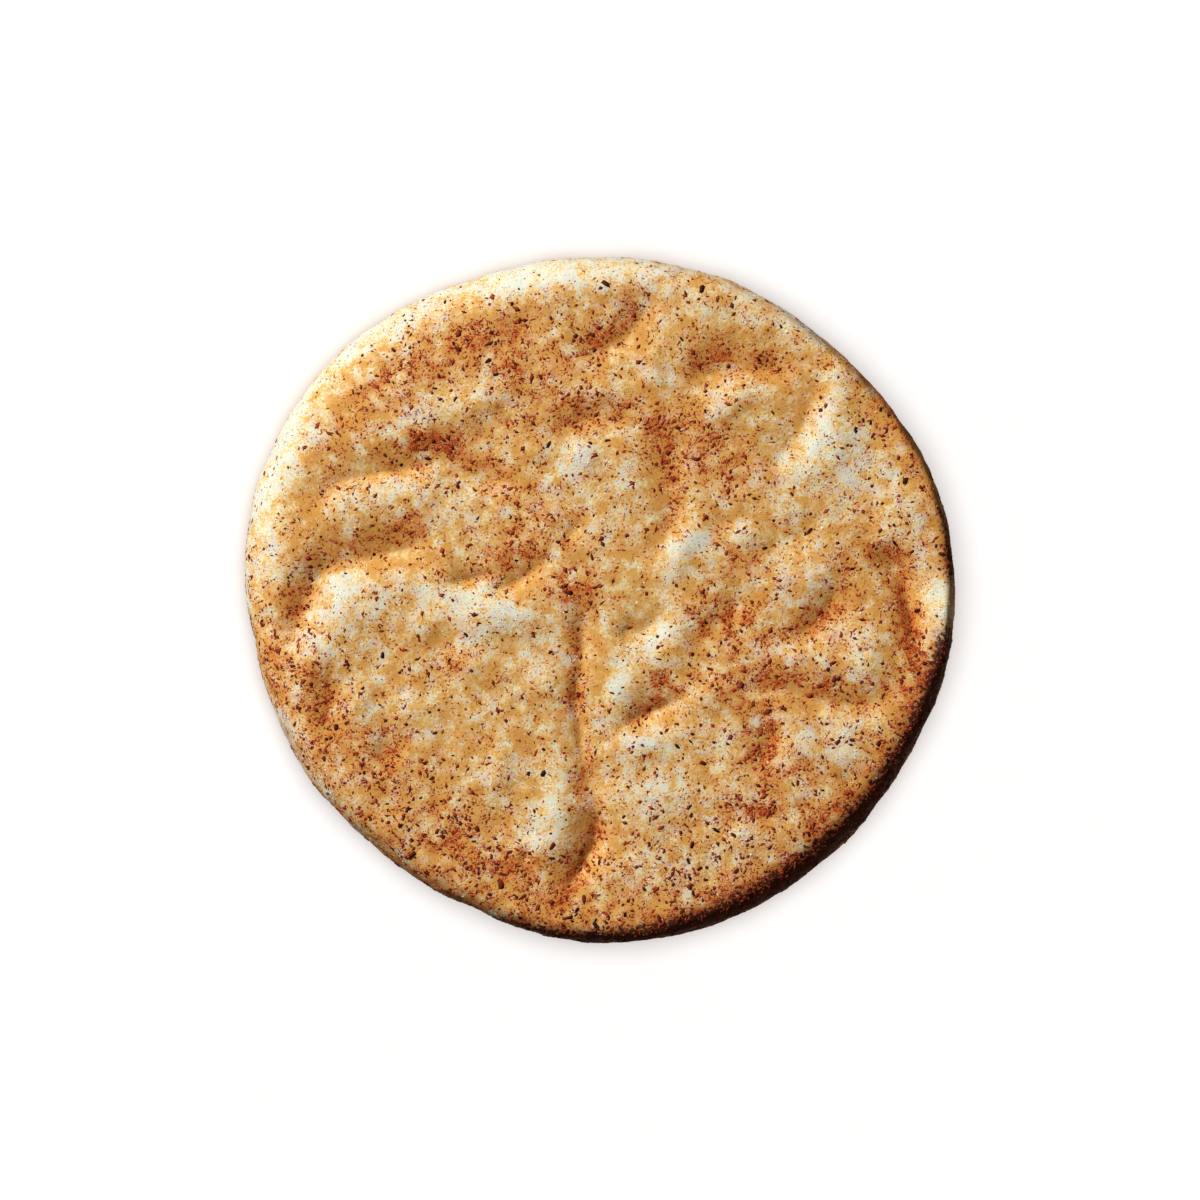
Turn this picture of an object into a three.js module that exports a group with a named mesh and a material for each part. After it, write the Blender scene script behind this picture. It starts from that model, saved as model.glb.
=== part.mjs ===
// A snickerdoodle: one flat, round, baked biscuit with a wrinkled top, a rounded rim and a flat underside.
// Millimetres, +Z up. The underside lies on z = 0 with the middle of the biscuit's box over the origin.

import * as THREE from 'three';

const RADIUS = 37.7;          // of the outline, away from its corners
const THICKNESS = 9.1;        // height of the middle before folds and swells
const DOMING = 0.8;           // how much lower the top is at its rim
const GIRTH_HEIGHT = 2.6;     // height at which the biscuit is widest
const FOOT_SETBACK = 1.9;     // how far the flat underside stays inside the outline
const RIM_REACH = 7;          // mean reach of the rounded upper rim
const RIM_FULLNESS = 2.4;     // 2 is an ellipse, more is a squarer shoulder; this is the mean one
const RELIEF_FADE = 1.6;      // the folds die out over this much next to the outline

const SECTORS = 104;          // divisions round the biscuit
const UNDERSIDE_RINGS = 5;
const FOOT_RINGS = 3;
const RIM_RINGS = 9;
const TOP_RINGS = 23;

// The outline is a round with two soft corners and one flatter stretch: direction and half width of each in
// degrees from +X round by +Y, and how far it stands out.
const CORNERS = [
  { at: 153, half: 32, height: 2 },
  { at: 6, half: 28, height: 1.25 },
  { at: 238, half: 24, height: -1.15 },
];
const CORNER_FALL = 3;        // 2 is a bell, more is flatter on top with steeper sides

// Reach of the rounded rim, from +X round by +Y, every 45 degrees.
const RIM = [2.2, 2.4, 5.0, 8.5, 7.0, 4.6, 3.2, 5.6];

// Fullness of the rounded rim, every 45 degrees.
const FULLNESS = [3.6, 3.6, 2.8, 2.4, 2.6, 3.4, 4.0, 4.4];

const DOUGH_COLOUR = 0xd9a763;
const DOUGH_ROUGHNESS = 0.85;

// Folds: the line that a fold's bottom follows, its depth, and its width to the left and right of that line.
const FOLDS = [
  { line: [[-34.2, -7.5], [-33, -2.5], [-31.4, 1.2], [-29.2, 3.7], [-25.2, 4.7], [-21, 5.6], [-17.2, 7.2]],
    depth: 1.25, left: 2.9, right: 2.3 },
  { line: [[-32, 8.5], [-30.6, 10.9], [-28.4, 12.8], [-25, 13.6], [-21.5, 14.1], [-17.8, 14.9],
    [-15.2, 13.8], [-12, 12.8], [-8, 12.6]], depth: 0.85, left: 2.6, right: 1.8 },
  { line: [[-33.5, 4], [-31.5, 12], [-28, 19.5], [-21.5, 26], [-13, 29.8], [-4, 29.5]],
    depth: 0.45, left: 3.4, right: 3.4 },
  { line: [[7.2, 34.6], [5.2, 31.8], [3.2, 28.9], [0, 27], [-4, 26.2]], depth: 0.7, left: 1.6, right: 2.4 },
  { line: [[8, 25.2], [11.5, 24.5], [15.5, 25], [20, 25], [23, 25.6]], depth: 0.9, left: 3, right: 2 },
  { line: [[24.4, 26.5], [23.2, 22], [21.8, 18.8], [20, 16], [17.2, 13.4]],
    depth: 0.65, left: 2, right: 2.8 },
  { line: [[4.2, 18.8], [7, 16.4], [7.6, 12.5], [7.5, 9], [7, 6.4], [4.8, 3.8]],
    depth: 0.6, left: 1.8, right: 2.2 },
  { line: [[-3.4, 1.4], [-2, -1.5], [-1.9, -6], [-2.6, -10.5], [-2.1, -14], [-1.9, -17], [-0.9, -20.5],
    [-0.3, -23.5]], depth: 0.45, left: 1.8, right: 1.5 },
  { line: [[-0.8, -20.5], [-0.2, -23.5], [-0.6, -26.5], [-2.2, -29.5], [-4.4, -32.8]],
    depth: 0.9, left: 1.8, right: 2 },
  { line: [[0.8, -14.6], [4, -12.9], [7, -11.6], [10.4, -9.9]], depth: 0.6, left: 1.5, right: 1.3 },
  { line: [[14.5, -9.6], [17.5, -9.6], [20.5, -9.9], [23, -10.8], [26, -11.4], [30, -11.1], [33.5, -10]],
    depth: 0.5, left: 1.5, right: 1.3 },
  { line: [[0.6, -3.2], [3.4, -3.9], [6, -2.3], [8, 0.2]], depth: 0.55, left: 1.9, right: 1.5 },
  { line: [[26.4, 3.4], [25.2, 0], [23.4, -2.5], [21.5, -3.9], [18.6, -4.6]],
    depth: 0.8, left: 1.6, right: 2.2 },
  { line: [[28.6, 6.6], [31.4, 4.2], [33, 1.6], [33.7, -1], [34.2, -4], [34.8, -7.5]],
    depth: 1.1, left: 1.4, right: 1.7 },
  { line: [[10.4, -3.6], [13, -2.4], [15.4, -0.4], [18, 1.4]], depth: 0.45, left: 2, right: 1.6 },
  { line: [[-17.4, 1.6], [-14, 2.2], [-11.2, 3.2]], depth: 0.65, left: 1.6, right: 1.1 },
  { line: [[-13, 0.6], [-9.6, 1.6], [-7.2, 3.2], [-5.4, 5.2]], depth: 0.7, left: 1.6, right: 1.1 },
  { line: [[-5, 20.8], [-3, 19.1], [0, 19.8], [3.4, 19.2]], depth: 0.65, left: 2, right: 1.5 },
  { line: [[-30.6, -7], [-29.2, -10.4], [-29.6, -13], [-28.4, -16.5]], depth: 0.55, left: 1.8, right: 2 },
  { line: [[18.8, -12.6], [18.2, -16], [17, -19]], depth: 0.65, left: 1.5, right: 1.8 },
  { line: [[16.4, 5.2], [19, 6], [22, 7.1], [24.6, 8.8]], depth: 0.45, left: 1.8, right: 1.5 },
];

// Swells: centre, half sizes, turn in degrees and height.
const SWELLS = [
  { at: [19, -18], half: [11, 11], turn: 0, height: 0.7 },
  { at: [-26, -0.5], half: [4.5, 3.2], turn: 30, height: 0.5 },
  { at: [-33.4, 4.6], half: [1.8, 4.2], turn: -35, height: 0.25 },
  { at: [-30.2, -5.4], half: [2.6, 3.6], turn: -20, height: 0.45 },
  { at: [-22.5, 11.6], half: [7, 2.4], turn: 8, height: 0.25 },
  { at: [-18.6, 19.4], half: [4.4, 1.8], turn: 26, height: 0.35 },
  { at: [-12, -2], half: [6.5, 2.4], turn: 8, height: 0.55 },
  { at: [3, -9.2], half: [1.9, 2.6], turn: -20, height: 0.35 },
  { at: [6.9, -5.6], half: [1.8, 3.2], turn: -38, height: 0.35 },
  { at: [9, 5.6], half: [1.6, 3.2], turn: -32, height: 0.4 },
  { at: [13.2, 20.2], half: [2.2, 1.6], turn: 0, height: 0.45 },
  { at: [25.8, 21], half: [2, 5.6], turn: -8, height: 0.4 },
  { at: [22.6, 15], half: [2.6, 3.6], turn: -35, height: 0.3 },
  { at: [22.6, 1.6], half: [3, 3.2], turn: 0, height: 0.5 },
  { at: [28.8, -6], half: [2.4, 3], turn: 0, height: 0.45 },
  { at: [37.6, -1.4], half: [2.4, 4.2], turn: -4, height: 0.9 },
  { at: [-4.6, -22.5], half: [1.9, 5.2], turn: -6, height: 0.45 },
  { at: [-6.8, -27.2], half: [2.8, 1.6], turn: 10, height: 0.4 },
  { at: [5.2, -22.6], half: [4.4, 2.6], turn: 10, height: 0.35 },
];

const SHARPNESS = 1.35;       // of a fold's bottom: 1 is a crease, 2 a round dip
const TAPER = 5;              // length over which a fold rises to its ends
const END_SHARE = 0.45;       // on a short fold, the taper's share of its length
const END_DEPTH = 0.12;       // share of the depth that is left at an end
const SWELL_FALL = 0.9;

const smooth = (t) => t * t * (3 - 2 * t);
const clamp01 = (t) => THREE.MathUtils.clamp(t, 0, 1);
const sum = (list) => list.reduce((total, value) => total + value, 0);

// A smooth closed curve through values spaced evenly round the biscuit.
function around(values, angle) {
  const count = values.length;
  const turns = THREE.MathUtils.euclideanModulo(angle / (2 * Math.PI), 1) * count;
  const first = Math.floor(turns);
  const t = turns - first;
  const [a, b, c, d] = [-1, 0, 1, 2].map((step) => values[(first + step + count) % count]);
  return 0.5 * (2 * b + (c - a) * t + (2 * a - 5 * b + 4 * c - d) * t * t + (3 * b - a - 3 * c + d) * t ** 3);
}

// Radius of the outline in one direction.
function outline(angle) {
  const heading = THREE.MathUtils.radToDeg(angle);
  return RADIUS + sum(CORNERS.map(({ at, half, height }) => {
    const away = THREE.MathUtils.euclideanModulo(heading - at + 180, 360) - 180;
    return height * Math.exp(-(Math.abs(away / half) ** CORNER_FALL));
  }));
}

// The fold's line as short straight stretches.
function stretches(fold) {
  const curve = new THREE.CatmullRomCurve3(fold.line.map(([x, y]) => new THREE.Vector3(x, y, 0)));
  const points = curve.getSpacedPoints(Math.ceil(curve.getLength()));
  return points.slice(1).map((end, i) => ({ start: points[i], run: end.clone().sub(points[i]) }));
}

const CREASES = FOLDS.map((fold) => ({ ...fold, parts: stretches(fold) }));

// How much a fold lowers the top at one place.
function foldDrop(fold, x, y) {
  const stretch = fold.parts[0].run.length();
  const whole = stretch * fold.parts.length;
  let best = { distance: Infinity, lean: 0, along: 0 };
  fold.parts.forEach(({ start, run }, i) => {
    const [dx, dy] = [x - start.x, y - start.y];
    const t = clamp01((dx * run.x + dy * run.y) / run.lengthSq());
    const distance = Math.hypot(dx - t * run.x, dy - t * run.y);
    if (distance < best.distance) {
      const lean = (run.x * dy - run.y * dx) / (run.length() * Math.max(distance, 1e-6));
      best = { distance, lean, along: (i + t) * stretch };
    }
  });
  const lean = THREE.MathUtils.clamp(best.lean, -1, 1);
  const width = (fold.left + fold.right) / 2 + lean * (fold.left - fold.right) / 2;
  const fromEnd = Math.min(best.along, whole - best.along) / Math.min(TAPER, END_SHARE * whole);
  const taper = END_DEPTH + (1 - END_DEPTH) * smooth(clamp01(fromEnd));
  return fold.depth * taper * Math.exp(-((best.distance / width) ** SHARPNESS));
}

function swellRise(swell, x, y) {
  const turn = THREE.MathUtils.degToRad(swell.turn);
  const [dx, dy] = [x - swell.at[0], y - swell.at[1]];
  const u = (Math.cos(turn) * dx + Math.sin(turn) * dy) / swell.half[0];
  const v = (Math.cos(turn) * dy - Math.sin(turn) * dx) / swell.half[1];
  return swell.height * Math.exp(-SWELL_FALL * (u * u + v * v));
}

function relief(x, y) {
  const rises = SWELLS.map((swell) => swellRise(swell, x, y));
  const drops = CREASES.map((fold) => foldDrop(fold, x, y));
  return sum(rises) - sum(drops);
}

// The section of an even, round biscuit, from the middle of the underside to the middle of the top.
function section() {
  const points = [];
  const foot = RADIUS - FOOT_SETBACK;
  for (let i = 0; i < UNDERSIDE_RINGS; i++) points.push(new THREE.Vector2(foot * i / UNDERSIDE_RINGS, 0));
  for (let i = 0; i < FOOT_RINGS; i++) {
    const turn = (Math.PI / 2) * i / FOOT_RINGS;
    points.push(new THREE.Vector2(foot + FOOT_SETBACK * Math.sin(turn), GIRTH_HEIGHT * (1 - Math.cos(turn))));
  }
  const rimRise = THICKNESS - DOMING - GIRTH_HEIGHT;
  for (let i = 0; i < RIM_RINGS; i++) {
    const turn = (Math.PI / 2) * i / RIM_RINGS;
    const inward = RIM_REACH * (1 - Math.cos(turn) ** (2 / RIM_FULLNESS));
    points.push(new THREE.Vector2(RADIUS - inward, GIRTH_HEIGHT + rimRise * Math.sin(turn)));
  }
  const shoulder = RADIUS - RIM_REACH;
  for (let i = TOP_RINGS; i >= 0; i--) {
    const share = i / TOP_RINGS;
    points.push(new THREE.Vector2(shoulder * share, THICKNESS - DOMING * smooth(share)));
  }
  return points;
}

// Where a radius of the even section goes on the real outline, whose rim is wider or fuller in some places.
function realRadius(radius, angle) {
  const edge = outline(angle);
  const rim = around(RIM, angle);
  const inward = RADIUS - radius;
  if (inward > RIM_REACH) return (edge - rim) * radius / (RADIUS - RIM_REACH);
  const left = clamp01(1 - inward / RIM_REACH);
  return edge - rim * (1 - left ** (RIM_FULLNESS / around(FULLNESS, angle)));
}

// Moulds the even biscuit to the real outline and folds its top. The underside stays flat.
function mould(geometry) {
  const place = geometry.attributes.position;
  for (let i = 0; i < place.count; i++) {
    const height = place.getZ(i);
    const angle = Math.atan2(place.getY(i), place.getX(i));
    const even = Math.hypot(place.getX(i), place.getY(i));
    const isFoot = height < GIRTH_HEIGHT;
    const radius = isFoot ? even * outline(angle) / RADIUS : realRadius(even, angle);
    const x = radius * Math.cos(angle);
    const y = radius * Math.sin(angle);
    const fade = smooth(clamp01((outline(angle) - radius) / RELIEF_FADE));
    place.setXYZ(i, x, y, isFoot ? height : height + relief(x, y) * fade);
  }
}

function makeBiscuit() {
  const geometry = new THREE.LatheGeometry(section(), SECTORS);
  geometry.rotateX(Math.PI / 2);
  mould(geometry);
  geometry.computeBoundingBox();
  const middle = geometry.boundingBox.getCenter(new THREE.Vector3());
  geometry.translate(-middle.x, -middle.y, 0);
  geometry.computeVertexNormals();
  const look = { color: DOUGH_COLOUR, roughness: DOUGH_ROUGHNESS, metalness: 0 };
  const biscuit = new THREE.Mesh(geometry, new THREE.MeshStandardMaterial(look));
  biscuit.name = 'snickerdoodle';
  return biscuit;
}

const group = new THREE.Group();
group.add(makeBiscuit());

export default group;
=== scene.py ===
"""A snickerdoodle: wrinkled dough, dusted with ground cinnamon and sugar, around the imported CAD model.

The form is worked out in millimetres, with the same outline, rim and folds as the CAD part, and goes into
Blender in metres. The cinnamon and the sugar are grains of geometry, scattered over the dough by how thickly
each place is dusted.
"""

import math

import bpy
import numpy as np
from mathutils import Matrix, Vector


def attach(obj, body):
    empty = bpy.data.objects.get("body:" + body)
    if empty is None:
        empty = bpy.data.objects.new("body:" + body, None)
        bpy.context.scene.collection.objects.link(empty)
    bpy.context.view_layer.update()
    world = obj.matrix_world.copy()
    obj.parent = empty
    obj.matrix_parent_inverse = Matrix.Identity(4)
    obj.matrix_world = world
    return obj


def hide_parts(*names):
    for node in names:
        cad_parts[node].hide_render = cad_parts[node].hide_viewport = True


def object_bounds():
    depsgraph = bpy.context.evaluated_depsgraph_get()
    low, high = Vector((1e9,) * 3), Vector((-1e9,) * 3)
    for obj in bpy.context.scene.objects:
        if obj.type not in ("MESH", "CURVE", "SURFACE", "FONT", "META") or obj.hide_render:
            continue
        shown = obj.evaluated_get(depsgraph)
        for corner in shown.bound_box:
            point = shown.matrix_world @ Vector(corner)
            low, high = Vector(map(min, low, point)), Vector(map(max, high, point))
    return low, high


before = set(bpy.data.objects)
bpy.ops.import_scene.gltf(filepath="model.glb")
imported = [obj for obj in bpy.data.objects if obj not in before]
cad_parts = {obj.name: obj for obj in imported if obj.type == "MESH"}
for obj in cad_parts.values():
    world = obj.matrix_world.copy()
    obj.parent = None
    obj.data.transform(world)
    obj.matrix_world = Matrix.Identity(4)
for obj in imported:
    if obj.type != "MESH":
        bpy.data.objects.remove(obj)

CAD_LOW, CAD_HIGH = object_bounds()
MM = 0.001
NODE = "snickerdoodle"

# ---------------------------------------------------------------- form, in millimetres

RADIUS = 37.7               # of the outline, away from its corners
THICKNESS = 9.1             # height of the middle before folds and swells
DOMING = 0.8                # how much lower the top is at its rim
GIRTH_HEIGHT = 2.6          # height at which the biscuit is widest
FOOT_SETBACK = 1.9          # how far the flat underside stays inside the outline
RIM_REACH = 7.0             # mean reach of the rounded upper rim
RIM_FULLNESS = 2.4          # 2 is an ellipse, more is a squarer shoulder; this is the mean one
RELIEF_FADE = 1.6           # the folds die out over this much next to the outline

# The outline is a round with two soft corners and one flatter stretch: direction and half width of each in
# degrees from +X round by +Y, and how far it stands out.
CORNERS = [(153, 32, 2.0), (6, 28, 1.25), (238, 24, -1.15)]
CORNER_FALL = 3             # 2 is a bell, more is flatter on top with steeper sides

# Reach of the rounded rim, from +X round by +Y, every 45 degrees.
RIM = [2.2, 2.4, 5.0, 8.5, 7.0, 4.6, 3.2, 5.6]

# Fullness of the rounded rim, every 45 degrees.
FULLNESS = [3.6, 3.6, 2.8, 2.4, 2.6, 3.4, 4.0, 4.4]

# Folds: the line of the fold's bottom, its depth, its width to the left and to the right of that line.
FOLDS = [
    ([(-34.2, -7.5), (-33, -2.5), (-31.4, 1.2), (-29.2, 3.7), (-25.2, 4.7), (-21, 5.6),
      (-17.2, 7.2)], 1.25, 2.9, 2.3),
    ([(-32, 8.5), (-30.6, 10.9), (-28.4, 12.8), (-25, 13.6), (-21.5, 14.1), (-17.8, 14.9), (-15.2, 13.8),
      (-12, 12.8), (-8, 12.6)], 0.85, 2.6, 1.8),
    ([(-33.5, 4), (-31.5, 12), (-28, 19.5), (-21.5, 26), (-13, 29.8), (-4, 29.5)], 0.45, 3.4, 3.4),
    ([(7.2, 34.6), (5.2, 31.8), (3.2, 28.9), (0, 27), (-4, 26.2)], 0.7, 1.6, 2.4),
    ([(8, 25.2), (11.5, 24.5), (15.5, 25), (20, 25), (23, 25.6)], 0.9, 3, 2),
    ([(24.4, 26.5), (23.2, 22), (21.8, 18.8), (20, 16), (17.2, 13.4)], 0.65, 2, 2.8),
    ([(4.2, 18.8), (7, 16.4), (7.6, 12.5), (7.5, 9), (7, 6.4), (4.8, 3.8)], 0.6, 1.8, 2.2),
    ([(-3.4, 1.4), (-2, -1.5), (-1.9, -6), (-2.6, -10.5), (-2.1, -14), (-1.9, -17), (-0.9, -20.5),
      (-0.3, -23.5)], 0.45, 1.8, 1.5),
    ([(-0.8, -20.5), (-0.2, -23.5), (-0.6, -26.5), (-2.2, -29.5), (-4.4, -32.8)], 0.9, 1.8, 2),
    ([(0.8, -14.6), (4, -12.9), (7, -11.6), (10.4, -9.9)], 0.6, 1.5, 1.3),
    ([(14.5, -9.6), (17.5, -9.6), (20.5, -9.9), (23, -10.8), (26, -11.4), (30, -11.1),
      (33.5, -10)], 0.5, 1.5, 1.3),
    ([(0.6, -3.2), (3.4, -3.9), (6, -2.3), (8, 0.2)], 0.55, 1.9, 1.5),
    ([(26.4, 3.4), (25.2, 0), (23.4, -2.5), (21.5, -3.9), (18.6, -4.6)], 0.8, 1.6, 2.2),
    ([(28.6, 6.6), (31.4, 4.2), (33, 1.6), (33.7, -1), (34.2, -4), (34.8, -7.5)], 1.1, 1.4, 1.7),
    ([(10.4, -3.6), (13, -2.4), (15.4, -0.4), (18, 1.4)], 0.45, 2, 1.6),
    ([(-17.4, 1.6), (-14, 2.2), (-11.2, 3.2)], 0.65, 1.6, 1.1),
    ([(-13, 0.6), (-9.6, 1.6), (-7.2, 3.2), (-5.4, 5.2)], 0.7, 1.6, 1.1),
    ([(-5, 20.8), (-3, 19.1), (0, 19.8), (3.4, 19.2)], 0.65, 2, 1.5),
    ([(-30.6, -7), (-29.2, -10.4), (-29.6, -13), (-28.4, -16.5)], 0.55, 1.8, 2),
    ([(18.8, -12.6), (18.2, -16), (17, -19)], 0.65, 1.5, 1.8),
    ([(16.4, 5.2), (19, 6), (22, 7.1), (24.6, 8.8)], 0.45, 1.8, 1.5),
]
FINE_FOLDS = [
    ([(-3.6, 5.6), (-3, 7.2), (-1.6, 9)], 0.45, 1.3, 1.1),
    ([(-18.6, -2.2), (-16.6, -4.6), (-15.4, -7.6)], 0.4, 1.5, 2),
    ([(-24.5, -15), (-21.6, -18)], 0.35, 1.8, 2.2),
    ([(-14, -24), (-10.5, -24.6), (-8.6, -24)], 0.3, 1.6, 1.6),
    ([(11, 8.8), (13.6, 8.4), (16.8, 8.6)], 0.3, 1.5, 1.2),
    ([(-9, -28.1), (-7, -27.7)], 0.5, 1, 0.9),
    ([(-2.9, 0), (-2, -2.5), (-1.9, -6), (-2.6, -10.5), (-2.1, -14), (-1.9, -17),
      (-0.9, -20.5)], 0.2, 0.5, 0.6),
    ([(-0.4, -22.5), (-0.6, -26.5), (-2.2, -29.5), (-4, -32.4)], 0.4, 0.6, 0.6),
    ([(1.4, -14.2), (4, -12.9), (7, -11.6), (9.6, -10.2)], 0.2, 0.5, 0.5),
    ([(-13, 0.6), (-9.6, 1.6), (-7.2, 3.2), (-5.4, 5.2)], 0.15, 0.5, 0.5),
    ([(-17.4, 1.6), (-14, 2.2), (-11.2, 3.2)], 0.25, 0.5, 0.5),
    ([(31.4, 4.2), (33, 1.6), (33.7, -1), (34.2, -4), (34.8, -7.5)], 0.3, 0.5, 0.5),
    ([(-30, 11.4), (-28.4, 12.8), (-25, 13.6), (-21.5, 14.1), (-17.8, 14.9)], 0.15, 0.5, 0.6),
]

# Swells: centre, half sizes, turn in degrees, height.
SWELLS = [
    ((19, -18), (11, 11), 0, 0.7),
    ((-26, -0.5), (4.5, 3.2), 30, 0.5),
    ((-33.4, 4.6), (1.8, 4.2), -35, 0.25),
    ((-30.2, -5.4), (2.6, 3.6), -20, 0.45),
    ((-22.5, 11.6), (7, 2.4), 8, 0.25),
    ((-18.6, 19.4), (4.4, 1.8), 26, 0.35),
    ((-12, -2), (6.5, 2.4), 8, 0.55),
    ((3, -9.2), (1.9, 2.6), -20, 0.35),
    ((6.9, -5.6), (1.8, 3.2), -38, 0.35),
    ((9, 5.6), (1.6, 3.2), -32, 0.4),
    ((13.2, 20.2), (2.2, 1.6), 0, 0.45),
    ((25.8, 21), (2, 5.6), -8, 0.4),
    ((22.6, 15), (2.6, 3.6), -35, 0.3),
    ((22.6, 1.6), (3, 3.2), 0, 0.5),
    ((28.8, -6), (2.4, 3), 0, 0.45),
    ((37.6, -1.4), (2.4, 4.2), -4, 0.9),
    ((-4.6, -22.5), (1.9, 5.2), -6, 0.45),
    ((-6.8, -27.2), (2.8, 1.6), 10, 0.4),
    ((5.2, -22.6), (4.4, 2.6), 10, 0.35),
]
FINE_SWELLS = [
    ((-12.6, 21.6), (3, 1.8), 30, 0.35),
    ((9.8, -1), (2.4, 1.6), 40, 0.25),
    ((14.6, 22.4), (3.6, 1.8), 10, 0.3),
    ((22.6, -6.4), (3.2, 1.6), -8, 0.4),
    ((-11, -18.6), (1.8, 2.8), -30, 0.35),
    ((27, -15.4), (2, 2), 0, 0.25),
    ((21.4, -16.4), (2.4, 1.8), 0, 0.25),
    ((19.6, -25.6), (2.2, 2), 0, 0.25),
    ((15.2, -26.4), (2.4, 1.6), 0, 0.25),
    ((4, -16), (3.8, 1.8), 10, 0.35),
    ((-0.4, 22.6), (2.6, 1.6), -10, 0.35),
    ((-1.6, 15.6), (1.6, 1.6), 0, 0.35),
    ((-7.2, 16), (1.6, 1.4), 0, 0.3),
    ((15.4, 6.6), (2, 1.6), 0, 0.3),
    ((5.8, 24.6), (1.2, 2.2), 0, 0.3),
    ((3.4, 26.4), (2.4, 1.2), 10, 0.25),
    ((-26, -11), (1.8, 2.4), 0, 0.3),
    ((-20.4, -12), (2.6, 1.8), 0, 0.3),
    ((-13.2, -7), (2.2, 1.6), 0, 0.3),
    ((-6, -9.4), (2.6, 2.6), 0, 0.3),
    ((12, -10), (2.4, 1.6), 35, 0.35),
    ((32.6, -11), (1.8, 1.6), 0, 0.3),
    ((33.4, 10), (2.6, 2.6), 0, 0.3),
    ((33, 6.2), (2.4, 1.4), -20, 0.25),
]

SHARPNESS = 1.35            # of a fold's bottom: 1 is a crease, 2 a round dip
TAPER = 5.0                 # length over which a fold rises to its ends
END_SHARE = 0.45            # on a short fold, the taper's share of its length
END_DEPTH = 0.12            # share of the depth that is left at an end
SWELL_FALL = 0.9            # how fast a patch falls off from its middle

# Lumps all over the top: size, height and seed of each scale of noise.
LUMPS = [(3.6, 0.12, 1), (1.8, 0.055, 2), (0.8, 0.025, 3)]

# How unevenly the wall bulges, likewise.
BULGES = [(4.6, 0.22, 11), (1.5, 0.1, 12)]
BULGE_START = 1.2           # height at which the wall bulges in full
BULGE_REACH = 3.0           # how far in from the outline the bulges reach

# Pits where gas bubbles burst: centre, radius, depth.
PITS = [
    ((2.9, -3.4), 0.62, 0.3), ((-21.3, -10), 0.55, 0.22), ((28.7, -5.6), 0.55, 0.25),
    ((14.4, -6.7), 0.5, 0.22), ((27, -19.4), 0.8, 0.25), ((-9.8, 19.4), 0.4, 0.2),
]
PIT_LEVEL, PIT_END = 0.125, 1.375   # shares of its radius up to which a pit is level, and where it ends

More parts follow.
